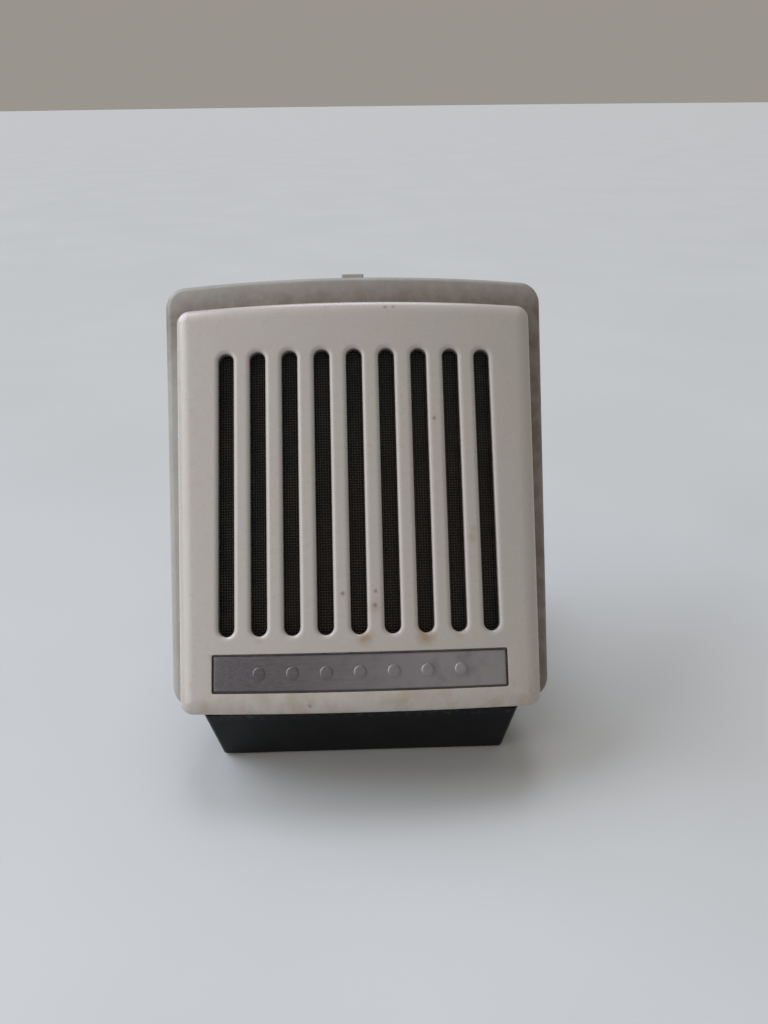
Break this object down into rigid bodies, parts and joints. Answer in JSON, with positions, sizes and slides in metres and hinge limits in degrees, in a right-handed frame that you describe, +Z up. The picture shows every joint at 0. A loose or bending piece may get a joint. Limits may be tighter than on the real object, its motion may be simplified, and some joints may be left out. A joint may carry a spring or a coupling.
{
  "type": "desk microphone",
  "caption": "Small boxed desk microphone: a curved front plate with upright sound slots over gauze, a tapered rear housing that tilts on a hinge, and a weighted foot.",
  "frame": {"origin": "middle of the underside of the rubber sole, on the surface that the foot rests on", "axes": "+X to the right seen from the front, +Y to the back, +Z up; the slotted face looks towards -Y and leans back 35 degrees"},
  "size_m": [0.075, 0.0644, 0.0829],
  "materials": {
    "ivory_plastic": "slightly aged satin ivory moulding",
    "badge_metal": "brushed and plain",
    "bright_steel": "plain",
    "gauze_wire": "fine woven gauze, blackened",
    "dark_plastic": "matt",
    "grey_plastic": "satin moulding with a fine grain",
    "black_rubber": "matt",
    "cast_aluminium": "turned",
    "dark_painted_metal": "pressed and perforated",
    "zinc_steel": "zinc plated",
    "magnet_alloy": "ground",
    "copper_wire": "enamelled winding",
    "diaphragm_film": "thin amber film",
    "felt": "pressed felt",
    "lamination_steel": "stacked laminations",
    "phenolic": "brown moulding",
    "tinned_tag": "tinned",
    "wire_insulation": "soft insulation",
    "brass_washer": "plain",
    "black_plastic": "satin black moulding",
    "ballast_iron": "rough casting"
  },
  "bodies": {
    "foot": {"foot_shell": "black_plastic", "foot_ballast": "ballast_iron", "foot_cover": "dark_plastic", "foot_screws": "bright_steel", "rubber_sole": "black_rubber", "hinge_pin": "bright_steel", "hinge_washers": "brass_washer", "hinge_clips": "bright_steel"},
    "head": {"front_grille": "ivory_plastic", "badge": "badge_metal", "badge_pins": "bright_steel", "gauze": "gauze_wire", "gauze_frame": "dark_plastic", "rear_housing": "grey_plastic", "housing_screws": "bright_steel", "cable_grommet": "black_rubber", "capsule_mount_ring": "black_rubber", "capsule_basket": "cast_aluminium", "capsule_cover": "dark_painted_metal", "yoke_cup": "zinc_steel", "magnet": "magnet_alloy", "pole_plate": "zinc_steel", "damping_felt": "felt", "transformer_core": "lamination_steel", "transformer_bobbin": "phenolic", "transformer_winding": "copper_wire", "transformer_bracket": "bright_steel", "terminal_board": "phenolic", "solder_tags": "tinned_tag", "inner_screws": "bright_steel", "lead_wires": "wire_insulation"},
    "moving_coil": {"diaphragm": "diaphragm_film", "voice_coil": "copper_wire"}
  },
  "joints": [
    {"name": "head_tilt", "type": "hinge", "parent": "foot", "child": "head", "pos_m": [0, -0.00204, 0.01743], "axis": [-1, 0, 0], "range_deg": [0, 25]},
    {"name": "diaphragm_travel", "type": "slide", "parent": "head", "child": "moving_coil", "axis": [0, -0.8192, 0.5736], "range_m": [-0.0003, 0.0003], "stiffness_N_per_m": 400}
  ]
}
